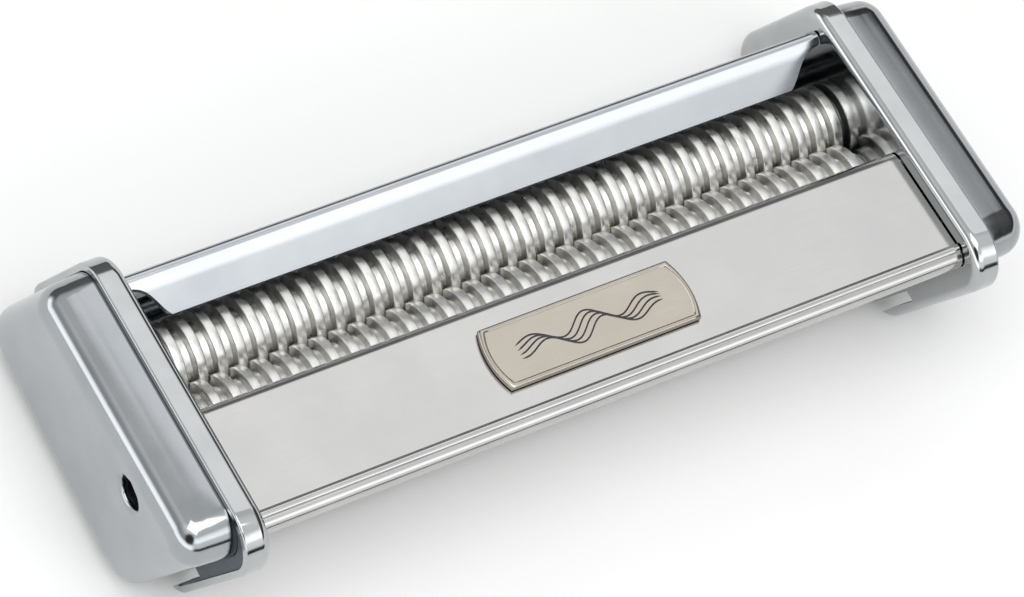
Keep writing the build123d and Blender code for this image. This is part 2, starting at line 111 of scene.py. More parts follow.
@dataclass(frozen=True)
class Finish:
    """One real material with the marks that its making leaves.

    Two noises run through it. The cloud is a slow one, a few millimetres across, that shifts the
    colour and the gloss as plating and handling do. The grain is a fine one, stretched along the
    tool's travel, that lifts the surface and blurs it. Metals keep the shader's own index.

    Attributes:
        title: The real material's name.
        colour: The main colour.
        shade: The colour towards which the cloud lets it drift.
        base: Metal or plastic.
        gloss: Lowest and highest roughness.
        cloud_mm: The cloud's cell size.
        grain_mm: The grain's cell size along x, y and z.
        grain_depth_mm: The height that the grain gives the surface.
        ior: The index of refraction of a plastic.
    """

    title: str
    colour: str
    shade: str
    base: Base
    gloss: Pair
    cloud_mm: float
    grain_mm: Triple
    grain_depth_mm: float
    ior: float = 1.5

    def pattern(self, tree: Tree, cells: Triple, detail: float) -> Socket:
        """Lay a noise on the piece's own coordinates.

        Args:
            tree: The material's node tree.
            cells: The noise's cell size in millimetres along x, y and z.
            detail: The number of octaves.

        Returns:
            The noise's value socket.
        """
        place = add(tree, "ShaderNodeTexCoord").outputs["Object"]
        scale = tuple(1000.0 / cell for cell in cells)
        fitted = add(tree, "ShaderNodeMapping", {"Vector": place, "Scale": scale}).outputs["Vector"]
        noise = add(
            tree,
            "ShaderNodeTexNoise",
            {"Vector": fitted, "Scale": 1.0, "Detail": detail, "Roughness": NOISE_FADE},
        )
        return noise.outputs["Fac"]

    def tint(self, tree: Tree, cloud: Socket) -> Socket:
        """Let the main colour drift towards the shade where the cloud is low.

        Args:
            tree: The material's node tree.
            cloud: The slow noise.

        Returns:
            The colour socket.
        """
        span = {"Value": cloud, "From Min": DRIFT_FROM, "From Max": DRIFT_TO}
        drift = add(tree, "ShaderNodeMapRange", span)
        ends = {0: drift.outputs[0], 6: linear(self.shade), 7: linear(self.colour)}
        return add(tree, "ShaderNodeMix", ends, data_type="RGBA").outputs[2]

    def make(self) -> bpy.types.Material:
        """Build the material.

        Returns:
            A node material, named for the real one.
        """
        material = bpy.data.materials.new(self.title)
        material.use_nodes = True
        tree = material.node_tree
        tree.nodes.clear()
        cloud = self.pattern(tree, (self.cloud_mm,) * 3, CLOUD_DETAIL)
        grain = self.pattern(tree, self.grain_mm, GRAIN_DETAIL)
        blur = add(tree, "ShaderNodeMath", {0: cloud, 1: grain}, operation="MULTIPLY").outputs[0]
        gloss = add(
            tree,
            "ShaderNodeMapRange",
            {
                "Value": blur,
                "From Min": BLUR_FROM,
                "From Max": BLUR_TO,
                "To Min": self.gloss[0],
                "To Max": self.gloss[1],
            },
        )
        height = {"Height": grain, "Distance": self.grain_depth_mm * MM, "Strength": 1.0}
        relief = add(tree, "ShaderNodeBump", height)
        shader = add(
            tree,
            "ShaderNodeBsdfPrincipled",
            {
                "Base Color": self.tint(tree, cloud),
                "Metallic": self.base.value,
                "Roughness": gloss.outputs[0],
                "Normal": relief.outputs[0],
                "IOR": self.ior,
            },
        )
        target = add(tree, "ShaderNodeOutputMaterial")
        tree.links.new(shader.outputs[0], target.inputs[0])
        return material


# Bright nickel-chrome on pressed steel, buffed: a cold mirror, a little hazed where it is handled.
PLATE_CHROME = Finish(
    "bright_chromed_steel", "#B6B8B9", "#ABAEAF", Base.METAL,
    gloss=(0.06, 0.12), cloud_mm=9.0, grain_mm=(0.5, 0.5, 0.5), grain_depth_mm=0.0006,
)
# The same plating on a deep-drawn cap, satined before plating: it spreads reflections a little.
CAP_CHROME = Finish(
    "satin_chromed_cap_steel", "#A6A9AC", "#9CA0A3", Base.METAL,
    gloss=(0.10, 0.15), cloud_mm=11.0, grain_mm=(0.4, 0.4, 0.4), grain_depth_mm=0.001,
)
# Cold-rolled sheet, brushed lengthways and then chromed: a soft even sheen with very fine lines.
SATIN_SHEET = Finish(
    "satin_chromed_sheet", "#BDBCBA", "#B4B4B3", Base.METAL,
    gloss=(0.15, 0.22), cloud_mm=14.0, grain_mm=(9.0, 0.16, 0.16), grain_depth_mm=0.002,
)
# Sheet polished and chromed, for the guide behind the rollers: colder, with fewer lines.
BRIGHT_SHEET = Finish(
    "bright_chromed_sheet", "#B9BCC0", "#B1B5B9", Base.METAL,
    gloss=(0.15, 0.22), cloud_mm=12.0, grain_mm=(7.0, 0.25, 0.25), grain_depth_mm=0.001,
)
# Turned steel under bright nickel: rings left by the lathe tool, warmer than chrome.
TURNED_NICKEL = Finish(
    "turned_nickel_plated_steel", "#F0EFEC", "#DAD9D5", Base.METAL,
    gloss=(0.26, 0.50), cloud_mm=2.6, grain_mm=(0.30, 2.6, 2.6), grain_depth_mm=0.03,
)
# Nickel silver plate, finely lapped: a warm, quiet sheen that sets the badge off the cold cover.
BADGE_NICKEL = Finish(
    "lapped_nickel_silver", "#B4AEA4", "#ABA499", Base.METAL,
    gloss=(0.18, 0.27), cloud_mm=8.0, grain_mm=(6.0, 0.14, 0.14), grain_depth_mm=0.0015,
)
# Enamel baked into the motif: near-black and half matt, so that the strands read as drawn lines.
BADGE_INK = Finish(
    "baked_enamel_fill", "#2A2B2E", "#1E1F22", Base.PLASTIC,
    gloss=(0.25, 0.4), cloud_mm=2.0, grain_mm=(0.3, 0.3, 0.3), grain_depth_mm=0.01,
)
# Rubber under the badge: a matt black line round its foot.
PAD_RUBBER = Finish(
    "moulded_nitrile_rubber", "#17181A", "#0F1011", Base.PLASTIC,
    gloss=(0.55, 0.75), cloud_mm=4.0, grain_mm=(0.25, 0.25, 0.25), grain_depth_mm=0.02,
)
# Glass-filled nylon, moulded: blue-black with a faint matt stipple.
TRAY_NYLON = Finish(
    "moulded_glass_filled_nylon", "#36424A", "#2C363D", Base.PLASTIC,
    gloss=(0.38, 0.55), cloud_mm=7.0, grain_mm=(0.3, 0.3, 0.3), grain_depth_mm=0.02,
)
# Blanked stainless sheet: greyer than the chrome, with blurred lengthways lines.
COMB_STEEL = Finish(
    "blanked_stainless_steel", "#A9ABAD", "#8F9294", Base.METAL,
    gloss=(0.22, 0.36), cloud_mm=5.0, grain_mm=(4.0, 0.2, 0.2), grain_depth_mm=0.004,
)
# Drawn rod under zinc: bluish, with long drawing lines.
ROD_STEEL = Finish(
    "drawn_zinc_plated_rod", "#A7ADB2", "#8D9398", Base.METAL,
    gloss=(0.24, 0.38), cloud_mm=5.0, grain_mm=(8.0, 0.2, 0.2), grain_depth_mm=0.004,
)
# Zinc-plated screws: bluish grey with fine turning marks.
SCREW_STEEL = Finish(
    "zinc_plated_screw_steel", "#9DA2A6", "#7F8488", Base.METAL,
    gloss=(0.25, 0.4), cloud_mm=2.0, grain_mm=(0.2, 1.5, 1.5), grain_depth_mm=0.006,
)
# Sintered bronze: brown-gold and grainy, the one warm colour inside.
BUSH_BRONZE = Finish(
    "sintered_bronze", "#A3763F", "#8A6233", Base.METAL,
    gloss=(0.35, 0.5), cloud_mm=1.5, grain_mm=(0.22, 0.22, 0.22), grain_depth_mm=0.02,
)
# Sintered steel: dark grey and finely pitted, with a dull oiled sheen.
GEAR_STEEL = Finish(
    "sintered_gear_steel", "#7E8183", "#66696B", Base.METAL,
    gloss=(0.32, 0.48), cloud_mm=2.5, grain_mm=(0.3, 0.3, 0.3), grain_depth_mm=0.015,
)
# Turned carbon steel, unplated: a grey steel tone made dark as painted shade, so that the crank hole reads as
# deep.
SOCKET_STEEL_PAINTED_SHADE = Finish(
    "turned_carbon_steel_painted_shade", "#6F7173", "#55575A", Base.METAL,
    gloss=(0.25, 0.4), cloud_mm=2.0, grain_mm=(0.2, 2.0, 2.0), grain_depth_mm=0.01,
)
# Blued spring steel: dark blue-grey with a faint polish.
CLIP_STEEL = Finish(
    "blued_spring_steel", "#4C4F55", "#3A3D42", Base.METAL,
    gloss=(0.25, 0.4), cloud_mm=2.0, grain_mm=(0.4, 0.4, 0.4), grain_depth_mm=0.004,
)
# Moulded acetal: milky white and slightly waxy.
WASHER_ACETAL = Finish(
    "moulded_acetal", "#E4E2DA", "#D8D5CB", Base.PLASTIC,
    gloss=(0.3, 0.42), cloud_mm=4.0, grain_mm=(0.4, 0.4, 0.4), grain_depth_mm=0.01, ior=1.48,
)


class Wardrobe:
    """Keeps one material for each finish, so that pieces of one material share it."""

    def __init__(self) -> None:
        """Start empty."""
        self.made: dict[str, bpy.types.Material] = {}

    def dress(self, piece: bpy.types.Object, finish: Finish) -> None:
        """Give a piece, in all of its material slots, the material of a finish.

        Args:
            piece: The mesh object.
            finish: The finish, whose material is made on its first use.
        """
        if finish.title not in self.made:
            self.made[finish.title] = finish.make()
        if not piece.material_slots:
            piece.data.materials.append(None)
        for holder in piece.material_slots:
            holder.material = self.made[finish.title]


WARDROBE = Wardrobe()


# ------------------------------------------------------------------------------------ meshes
# Corners of a CAD node closer than this, in metres, are one corner in its merged copy.
MERGE_GRID = 1e-6
# How strongly large faces lead the normals of a merged copy, out of 100.
FACE_WEIGHT = 60


def new_object(name: str, points: np.ndarray, faces: list[list[int]], sharp: float) -> bpy.types.Object:
    """Make a smooth-shaded mesh object at the origin.

    Args:
        name: The object's and its mesh's name.
        points: The corners in metres.
        faces: The corner numbers of each face.
        sharp: Edges that bend by more than this many degrees stay crisp.

    Returns:
        The new object, in the scene.
    """
    mesh = bpy.data.meshes.new(name)
    mesh.from_pydata(points.tolist(), [], faces)
    mesh.update()
    mesh.shade_smooth()
    mesh.set_sharp_from_angle(angle=radians(sharp))
    piece = bpy.data.objects.new(name, mesh)
    bpy.context.scene.collection.objects.link(piece)
    return piece


class Shell:
    """Collects closed surfaces, given as rings of points, and turns them into one piece."""

    def __init__(self) -> None:
        """Start with no surface."""
        self.points: list[np.ndarray] = []
        self.faces: list[list[int]] = []
        self.count = 0

    def add_rings(self, rings: np.ndarray, looped: bool = False) -> None:
        """Add a closed surface carried by rings of points.

        Neighbouring points of neighbouring rings make a quadrilateral. Where the rings don't come
        round to the first one, both ends are closed by a fan to the middle of the end ring. The
        faces are turned outwards by the sign of the volume that they enclose, which is a sixth of
        the sum of each triangle's triple product.

        Args:
            rings: Points in millimetres as an array of rings, points and coordinates.
            looped: Whether the last ring joins the first one.
        """
        rows, columns = rings.shape[:2]
        index = np.arange(rows * columns).reshape(rows, columns)
        low = index if looped else index[:-1]
        high = np.roll(index, -1, axis=0) if looped else index[1:]
        across = [low, high, np.roll(high, -1, axis=1), np.roll(low, -1, axis=1)]
        quads = np.stack(across, axis=-1).reshape(-1, 4)
        points = rings.reshape(-1, 3)
        fans = np.empty((0, 3), dtype=int)
        if not looped:
            points = np.vstack([points, rings[0].mean(axis=0), rings[-1].mean(axis=0)])
            first = np.full(columns, rows * columns)
            start = np.stack([first, index[0], np.roll(index[0], -1)], axis=-1)
            end = np.stack([first + 1, np.roll(index[-1], -1), index[-1]], axis=-1)
            fans = np.vstack([start, end])
        triangles = np.vstack([quads[:, [0, 1, 2]], quads[:, [0, 2, 3]], fans])
        a, b, c = (points[triangles[:, k]] for k in range(3))
        if np.einsum("ij,ij->", a, np.cross(b, c)) < 0:
            quads, fans = quads[:, ::-1], fans[:, ::-1]
        self.faces += (quads + self.count).tolist() + (fans + self.count).tolist()
        self.points.append(points)
        self.count += len(points)

    def piece(self, name: str, sharp: float = 32.0) -> bpy.types.Object:
        """Make the mesh object.

        Args:
            name: The piece's name.
            sharp: Edges that bend by more than this many degrees stay crisp.

        Returns:
            The new object, at the origin, with its place in its mesh.
        """
        return new_object(name, np.vstack(self.points) * MM, self.faces, sharp)


def merged_copy(node: str, name: str, sharp: float = 24.0) -> bpy.types.Object:
    """Copy a CAD node smooth-shaded, with its loose triangles joined at shared corners.

    Args:
        node: The CAD node's name.
        name: The new piece's name.
        sharp: Edges that bend by more than this many degrees stay crisp.

    Returns:
        The new object with face-weighted normals, so that flats beside bends stay flat.
    """
    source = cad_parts[node].data
    corners = np.empty(len(source.vertices) * 3)
    source.vertices.foreach_get("co", corners)
    ends = np.empty(len(source.loops), dtype=np.int32)
    source.loops.foreach_get("vertex_index", ends)
    grid = np.round(corners.reshape(-1, 3) / MERGE_GRID).astype(np.int64)
    joined, where = np.unique(grid, axis=0, return_inverse=True)
    faces = where.reshape(-1)[ends].reshape(-1, 3)
    kept = (faces[:, 0] != faces[:, 1]) & (faces[:, 1] != faces[:, 2]) & (faces[:, 2] != faces[:, 0])
    piece = new_object(name, joined * MERGE_GRID, faces[kept].tolist(), sharp)
    weighted = piece.modifiers.new("face_weighted_normals", "WEIGHTED_NORMAL")
    weighted.keep_sharp = True
    weighted.weight = FACE_WEIGHT
    return piece


@dataclass
class Assembly:
    """A sub-assembly: it builds its pieces, dresses them and says what they ride on."""

    pieces: list[bpy.types.Object] = field(default_factory=list, init=False)

    def place(self, piece: bpy.types.Object, body: str, slot: str, finish: Finish, *nodes: str) -> None:
        """Dress a piece, let it ride on a body and stand for the CAD nodes that it replaces.

        Args:
            piece: The mesh object.
            body: The body that it rides on.
            slot: The material slot's name; not used.
            finish: The finish that it gets.
            *nodes: The CAD nodes that it replaces, if any.
        """
        WARDROBE.dress(piece, finish)
        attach(piece, body)
        if nodes:
            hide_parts(*nodes)
        self.pieces.append(piece)

    def carry_over(self, node: str, body: str, slot: str, finish: Finish) -> None:
        """Stand a smooth merged copy in for a CAD node whose shape is already right.

        Args:
            node: The CAD node's name.
            body: The body that it rides on.
            slot: The material slot's name; not used, only passed on to place.
            finish: The finish that it gets.
        """
        self.place(merged_copy(node, node + "_smooth"), body, slot, finish, node)

    def report(self) -> None:
        """Log each piece with its size in millimetres."""
        for piece in self.pieces:
            size = [round(value / MM, 1) for value in piece.dimensions]
            LOG.info("%s: %s, %s mm", type(self).__name__, piece.name, size)


# ------------------------------------------------------------------------------------ shapes
@dataclass(frozen=True)
class SideProfile:
    """The rounded four-sided outline that the side plates, trays and caps share, seen along x.

    The reaches are measured from the upper roller's axis, the height from the base; lean and slope
    are in degrees.
    """

    axis: Pair = (10.439, 19.5)
    rear_reach: float = 30.3
    front_reach: float = 35.8
    height: float = 39.8
    lean: float = 19.2
    slope: float = 6.3
    radius: float = 8.0
    least_radius: float = 0.6
    arc_steps: int = 22
    side_steps: int = 10

    def corners(self, inset: float, front_inset: float) -> np.ndarray:
        """Find the sharp corners of the inset outline.

        Each end is a line that leans forward from the vertical, and the working face is a line
        that rises towards the front, so a corner is where two of these lines cross.

        Args:
            inset: The inset of the base, the rear and the working face.
            front_inset: The inset of the front.

        Returns:
            Four corners as an array of y and z.
        """
        lean, slope = tan(radians(self.lean)), tan(radians(self.slope))
        rear = self.rear_reach - inset / cos(radians(self.lean))
        front = -self.front_reach + front_inset / cos(radians(self.lean))
        top = self.height - inset / cos(radians(self.slope))
        feet = np.array([rear, rear, front, front])
        under = (feet - top * lean) / (1 - slope * lean)
        y = np.where([True, False, False, True], feet - inset * lean, under)
        z = np.where([True, False, False, True], inset, top - under * slope)
        return np.stack([y + self.axis[0], z], axis=-1)

    def loop(self, inset: float, front_inset: float | None = None) -> np.ndarray:
        """Round the corners of the outline, with matching points whatever the inset.

        At each corner the arc's centre lies on the bisector, at the radius over the sine of half
        the angle, and the arc turns from one side's normal to the next one's. Straight runs are
        divided evenly between the arcs.

        Args:
            inset: The inset of the base, the rear and the working face.
            front_inset: The inset of the front, where it is another one.

        Returns:
            The closed loop as an array of y and z.
        """
        radius = max(self.radius - inset, self.least_radius)
        corners = self.corners(inset, inset if front_inset is None else front_inset)
        before = np.roll(corners, 1, axis=0) - corners
        after = np.roll(corners, -1, axis=0) - corners
        before /= np.linalg.norm(before, axis=1, keepdims=True)
        after /= np.linalg.norm(after, axis=1, keepdims=True)
        half = np.arccos(np.clip((before * after).sum(axis=1), -1, 1)) / 2
        middle = before + after
        middle /= np.linalg.norm(middle, axis=1, keepdims=True)
        centres = corners + middle * (radius / np.sin(half))[:, None]
        start = corners + before * (radius / np.tan(half))[:, None] - centres
        sweep = np.pi - 2 * half
        turn = np.linspace(0, 1, self.arc_steps)[None, :] * sweep[:, None]
        way = np.sign(before[:, 1] * after[:, 0] - before[:, 0] * after[:, 1])[:, None]
        side = np.stack([-start[:, 1], start[:, 0]], axis=-1)
        arcs = (
            centres[:, None]
            + start[:, None] * np.cos(turn)[..., None]
            + side[:, None] * (way * np.sin(turn))[..., None]
        )
        share = np.linspace(0, 1, self.side_steps + 2)[1:-1][None, :, None]
        runs = arcs[:, -1:] * (1 - share) + np.roll(arcs[:, :1], -1, axis=0) * share
        return np.concatenate([arcs, runs], axis=1).reshape(-1, 2)


PROFILE = SideProfile()


def at_x(loop: np.ndarray, x: float) -> np.ndarray:
    """Stand a loop of y and z up at a place along x."""
    return np.column_stack([np.full(len(loop), x), loop])


def lathe(axis: Pair, outline: np.ndarray, steps: int) -> np.ndarray:
    """Turn an outline round a line along x.

    Each point is an x and a radius; its ring is the circle of that radius, the centre plus the
    radius times the cosine and sine of evenly spaced angles.

    Args:
        axis: The line's y and z.
        outline: Pairs of x and radius.
        steps: The number of points round each ring.

    Returns:
        Rings of points.
    """
    angle = np.linspace(0, 2 * np.pi, steps, endpoint=False)
    x, radius = outline[:, 0, None], outline[:, 1, None]
    y, z = axis[0] + radius * np.cos(angle), axis[1] + radius * np.sin(angle)
    return np.stack([np.broadcast_to(x, y.shape), y, z], axis=-1)


@dataclass
class EndCaps(Assembly):
    """The two drawn caps over the gears and bearings, with their screw posts.

    Attributes:
        inset: The outline's inset from the side plates' outline, and front_inset the front's.
        start: The open edge's distance along x, and end the face's.
        crown: How far the wall leans in on its way up.
        sink: The depth of the dimple round the crank hole, and sink_round its edge's radius.
        sink_shares: Shares of that radius: how far the edge's first ring drops and reaches out,
            and how far the second one drops.
        sink_edge: The height of the dimple's sharp foot, and sink_ease how far it eases out.
        boss: The crank tube's inner and outer radius and its length.
        post: The screw posts' inner and outer radius and where they start along x.
        overlap: How far a tube reaches into the cap's wall, and the wall's start above its lip.
    """

    inset: float = 1.6
    front_inset: float = 4.0
    start: float = 79.4
    end: float = 91.4
    wall: float = 1.2
    end_wall: float = 1.0
    edge_round: float = 5.0
    crown: float = 0.45
    lip_round: float = 0.25
    lip_chamfer: float = 0.07
    wall_steps: int = 8
    round_steps: int = 18
    crank_axis: Pair = (-14.195, 30.597)
    hole_radius: float = 3.3
    sink: float = 0.4
    sink_round: float = 0.5
    sink_shares: Triple = (0.05, 0.55, 0.22)
    sink_edge: float = 0.1
    sink_ease: float = 0.06
    boss: Triple = (4.55, 6.05, 3.8)
    posts: tuple[Pair, ...] = ((24.939, 14.0), (-20.561, 20.0))
    post: Triple = (1.5, 2.8, 78.0)
    overlap: float = 0.4
    boss_steps: int = 64
    post_steps: int = 40
    bored_face_steps: int = 7
    plain_face_steps: int = 6
    inner_face_steps: int = 3

    def ring(self, side: int, x: float, depth: float) -> np.ndarray:
        """Stand the cap's outline up at a distance along x, inset by a depth from its outer wall."""
        return at_x(PROFILE.loop(self.inset + depth, self.front_inset + depth), side * x)

    def wall_rings(self, side: int, depth: float, end: float, fillet: float) -> list[np.ndarray]:
        """Run rings up a wall and round its fillet.

        Up the wall the inset grows with the square of the height, to the crown. Round the fillet
        it is the crown plus the radius times the cosine of the wall's lean less the cosine of the
        angle, and the distance from the end is the radius times one minus the angle's sine. The
        angle runs from the lean that the crowned wall already has to a right angle.

        Args:
            side: -1 for the crank end, 1 for the other.
            depth: The wall's inset from the outer wall.
            end: The face's distance along x.
            fillet: The fillet's radius.

        Returns:
            Rings of points, from the open edge to the edge of the face.
        """
        foot, top = self.start + self.overlap, end - fillet
        lean = np.arctan(2 * self.crown / (top - foot))
        angle = np.linspace(lean, np.pi / 2, self.round_steps)
        rings = []
        for share in np.linspace(0, 1, self.wall_steps + 1)[:-1]:
            rings.append(self.ring(side, foot + (top - foot) * share, depth + self.crown * share**2))
        for a in angle:
            inset = self.crown + fillet * (cos(lean) - cos(a))
            rings.append(self.ring(side, end - fillet * (1 - sin(a)), depth + inset))
        return rings

    def face_rings(self, edge: np.ndarray, inner: np.ndarray, steps: int) -> list[np.ndarray]:
        """Run rings across a flat face, blended from its edge to an inner loop in equal shares."""
        return [edge * (1 - t) + inner * t for t in np.linspace(0, 1, steps + 1)[1:]]

    def circle(self, side: int, x: float, radius: float, like: np.ndarray) -> np.ndarray:
        """Draw a circle round the crank hole, its points on the bearings of an outer loop's points.

        Args:
            side: -1 for the crank end, 1 for the other.
            x: The circle's distance along x.
            radius: The circle's radius.
            like: The outer loop.

        Returns:
            One ring of points.
        """
        away = like[:, 1:] - np.array(self.crank_axis)
        angle = np.unwrap(np.arctan2(away[:, 1], away[:, 0]))
        ring = np.array(self.crank_axis) + radius * np.stack([np.cos(angle), np.sin(angle)], axis=-1)
        return at_x(ring, side * x)

    def middle(self, loop: np.ndarray) -> np.ndarray:
        """Draw a loop in to its middle, keeping its number of points."""
        return np.broadcast_to(loop.mean(axis=0), loop.shape)

    def add_tube(self, shell: Shell, side: int, axis: Pair, radii: Pair, reach: Pair) -> None:
        """Add a square-ended tube along x.

        Args:
            shell: The shell that gets the tube.
            side: -1 for the crank end, 1 for the other.
            axis: The tube's y and z.
            radii: Its inner and outer radius.
            reach: Where it starts and ends along x.
        """
        (bore, outside), (start, end) = radii, reach
        outline = np.array([(start, bore), (start, outside), (end, outside), (end, bore)]) * (side, 1)
        steps = self.boss_steps if axis == self.crank_axis else self.post_steps
        shell.add_rings(lathe(axis, outline, steps), looped=True)

    def build_cap(self, side: int, name: str) -> bpy.types.Object:
        """Build one cap: an open drawn shell, closed round its thickness.

        Args:
            side: -1 for the crank end, 1 for the other.
            name: The piece's name.

        Returns:
            The cap with its posts and, at the crank end, its hole and boss.
        """
        shell = Shell()
        outer = self.wall_rings(side, 0.0, self.end, self.edge_round)
        inner_end = self.end - self.end_wall
        inner = self.wall_rings(side, self.wall, inner_end, self.edge_round - self.end_wall)
        lip = [
            self.ring(side, self.start, self.wall - self.lip_round),
            self.ring(side, self.start, self.lip_round),
            self.ring(side, self.start + self.lip_chamfer, self.lip_chamfer),
            self.ring(side, self.start + self.lip_round, 0.0),
        ]
        if side < 0:
            edge = outer[-1]
            bowl, soft = self.hole_radius + self.sink, self.sink_round
            first_drop, first_reach, second_drop = self.sink_shares
            mouth = self.circle(side, self.end, bowl + soft, edge)
            outer += self.face_rings(edge, mouth, self.bored_face_steps)
            steps = (
                (self.end - first_drop * soft, bowl + first_reach * soft),
                (self.end - second_drop * soft, bowl + self.sink_edge),
                (self.end - self.sink, self.hole_radius + self.sink_ease),
                (self.end - self.sink - self.sink_edge, self.hole_radius),
                (inner_end, self.hole_radius),
            )
            outer += [self.circle(side, x, radius, edge) for x, radius in steps]
            hole = self.circle(side, inner_end, self.hole_radius, inner[-1])
            back = self.face_rings(inner[-1], hole, self.inner_face_steps)
            rings = lip + outer + back[-2::-1] + inner[::-1]
            shell.add_rings(np.array(rings), looped=True)
            bore, outside, length = self.boss
            reach = (inner_end + self.overlap, inner_end - length)
            self.add_tube(shell, side, self.crank_axis, (bore, outside), reach)
        else:
            outer += self.face_rings(outer[-1], self.middle(outer[-1]), self.plain_face_steps)[:-1]
            inner += self.face_rings(inner[-1], self.middle(inner[-1]), self.inner_face_steps)[:-1]
            shell.add_rings(np.array(inner[::-1] + lip + outer))
        bore, outside, start = self.post
        for centre in self.posts:
            self.add_tube(shell, side, centre, (bore, outside), (start, self.end - self.end_wall / 2))
        return shell.piece(name)

    def build(self) -> None:
        """Build and dress both caps."""
        for side, name in ((-1, "left"), (1, "right")):
            cap = self.build_cap(side, name + "_cap_shell")
            self.place(cap, "frame", "chrome_cap", CAP_CHROME, name + "_end_cap")


@dataclass
class RollerPair(Assembly):
    """The two ringed cutting rollers, their washers and clips.

    Attributes:
        edge_round: The radius along a ring's crest, and floor_round the one at its foot.
        core_half: Half the length of the grooved part.
        shaft_flat: The height of the gear seat's flat over the axis.
        seat: Where the gear seat starts, on its way to the left end.
        clip_groove: The clip grooves' floor radius and width.
        shaft_chamfer: The chamfer of the shaft's ends, and core_chamfer that of the grooved part's.
    """

    upper_axis: Pair = (10.439, 19.5)
    lower_axis: Pair = (-3.675, 21.058)
    upper_rings: int = 37
    lower_rings: int = 36
    pitch: float = 4.1
    ring_width: float = 2.0
    ring_radius: float = 8.0
    groove_radius: float = 5.8
    edge_round: float = 0.24
    floor_round: float = 0.18
    core_half: float = 75.0
    shaft_radius: float = 3.0
    shaft_flat: float = 2.5
    left_end: float = 86.2
    seat: float = 79.0
    clip_groove: Pair = (2.4, 0.7)
    shaft_chamfer: float = 0.3
    core_chamfer: float = 0.2
    left_clip: float = 84.7
    right_clip: float = 79.0
    right_end: float = 80.5
    steps: int = 112
    round_steps: int = 4

    def ring_outline(self, middle: float) -> np.ndarray:
        """Draw one cutting ring, from groove floor to groove floor.

        The walls stand square to the axis; each foot and each crest edge is a quarter circle.

        Args:
            middle: The ring's place along x.

        Returns:
            Pairs of x and radius.
        """
        half = self.ring_width / 2
        angle = np.linspace(0, np.pi / 2, self.round_steps)
        near, far = 1 - np.sin(angle), 1 - np.cos(angle)
        foot = np.column_stack([half + self.floor_round * near, self.groove_radius + self.floor_round * far])
        crest = np.column_stack([half - self.edge_round * far, self.ring_radius - self.edge_round * near])
        rising = np.vstack([foot, crest])
        left = rising * (-1, 1) + (middle, 0)
        right = rising[::-1] + (middle, 0)
        return np.vstack([left, right])

    def outline(self, rings: int) -> np.ndarray:
        """Draw the roller's whole turned outline, from the left shaft end to the right one.

        Args:
            rings: The number of cutting rings.

        Returns:
            Pairs of x and radius.
        """
        first = -(rings - 1) * self.pitch / 2
        cut, width = self.clip_groove
        shaft, chamfer, bevel = self.shaft_radius, self.shaft_chamfer, self.core_chamfer
        left = [
            (-self.left_end, shaft - chamfer),
            (-self.left_end + chamfer, shaft),
            (-self.left_clip - width, shaft),
            (-self.left_clip - width, cut),
            (-self.left_clip, cut),
            (-self.left_clip, shaft),
            (-self.core_half, shaft),
            (-self.core_half, self.groove_radius - bevel),
            (-self.core_half + bevel, self.groove_radius),
        ]
        right = [
            (self.core_half - bevel, self.groove_radius),
            (self.core_half, self.groove_radius - bevel),
            (self.core_half, shaft),
            (self.right_clip, shaft),
            (self.right_clip, cut),
            (self.right_clip + width, cut),
            (self.right_clip + width, shaft),
            (self.right_end - chamfer, shaft),
            (self.right_end, shaft - chamfer),
        ]
        middle = [self.ring_outline(first + index * self.pitch) for index in range(rings)]
        return np.vstack([np.array(left), *middle, np.array(right)])

    def build_roller(self, name: str, axis: Pair, rings: int) -> bpy.types.Object:
        """Turn one roller and mill the flat of its gear seat.

        The flat is a height that no point of the seat passes: z is held to the axis plus the flat.

        Args:
            name: The piece's name.
            axis: The roller's y and z.
            rings: The number of cutting rings.

        Returns:
            The roller.
        """
        points = lathe(axis, self.outline(rings), self.steps)
        on_seat = points[..., 0] < -self.seat
        z, flat = points[..., 2], axis[1] + self.shaft_flat
        points[..., 2] = np.where(on_seat, np.minimum(z, flat), z)
        shell = Shell()
        shell.add_rings(points)
        return shell.piece(name, sharp=40.0)

    def build(self) -> None:
        """Build and dress both rollers with what rides on them."""
        rollers = (
            ("upper", self.upper_axis, self.upper_rings),
            ("lower", self.lower_axis, self.lower_rings),
        )
        for label, axis, rings in rollers:
            body = label + "_cutter"
            roller = self.build_roller(label + "_cutting_roller", axis, rings)
            self.place(roller, body, "roller_nickel", TURNED_NICKEL, label + "_roller")
            self.carry_over(label + "_thrust_washers", body, "washer_plastic", WASHER_ACETAL)
            self.carry_over(label + "_gear_clip", body, "clip_steel", CLIP_STEEL)
            self.carry_over(label + "_end_clip", body, "clip_steel", CLIP_STEEL)


@dataclass
class DriveTrain(Assembly):
    """The three gears, the crank socket and the five bushes."""

    geared: tuple[tuple[str, str], ...] = (
        ("upper", "upper_cutter"), ("lower", "lower_cutter"), ("drive", "crank_drive")
    )
    bushed: tuple[str, ...] = ("upper_left", "upper_right", "lower_left", "lower_right", "drive")

    def build(self) -> None:
        """Dress the carried-over parts."""
        for label, body in self.geared:
            self.carry_over(label + "_gear", body, "gear_steel", GEAR_STEEL)
        # The crank socket gets the steel made dark as painted shade, for the depth of the crank hole.
        self.carry_over("crank_socket", "crank_drive", "socket_steel", SOCKET_STEEL_PAINTED_SHADE)
        for label in self.bushed:
            self.carry_over(label + "_bush", "frame", "bush_bronze", BUSH_BRONZE)


